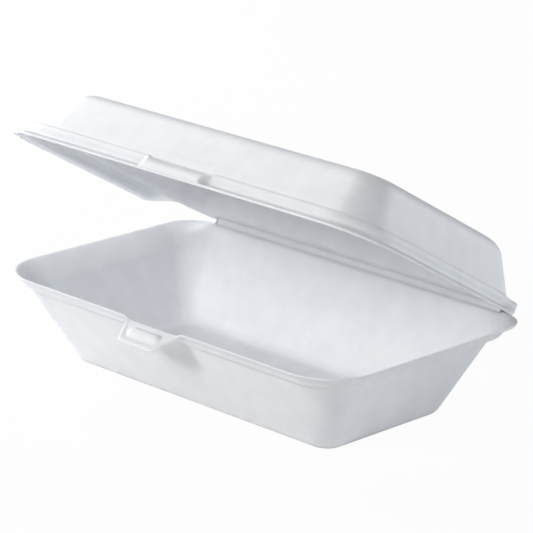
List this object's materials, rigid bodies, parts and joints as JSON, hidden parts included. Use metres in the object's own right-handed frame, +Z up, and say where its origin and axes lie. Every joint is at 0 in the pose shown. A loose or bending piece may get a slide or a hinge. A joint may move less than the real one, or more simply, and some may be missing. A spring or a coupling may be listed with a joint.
{
  "type": "foam clamshell container",
  "caption": "Hinged takeaway box of white foam: a tray with sloping walls and a flared rim, a domed lid folded at a back crease, and a front lock tab.",
  "frame": {"origin": "middle of the tray's flat underside", "axes": "+X along the box's length, +Y towards the crease, -Y towards the lock tab, +Z up out of the tray"},
  "size_m": [0.241, 0.1518, 0.1299],
  "materials": {
    "white_foam": "satin"
  },
  "bodies": {
    "base_tray": {"base_tray": "white_foam"},
    "lid": {"lid": "white_foam"}
  },
  "joints": [
    {"name": "lid_crease", "type": "hinge", "parent": "base_tray", "child": "lid", "pos_m": [0, 0.0715, 0.0445], "axis": [-1, 0, 0], "range_deg": [-29.5, 150.5]}
  ]
}
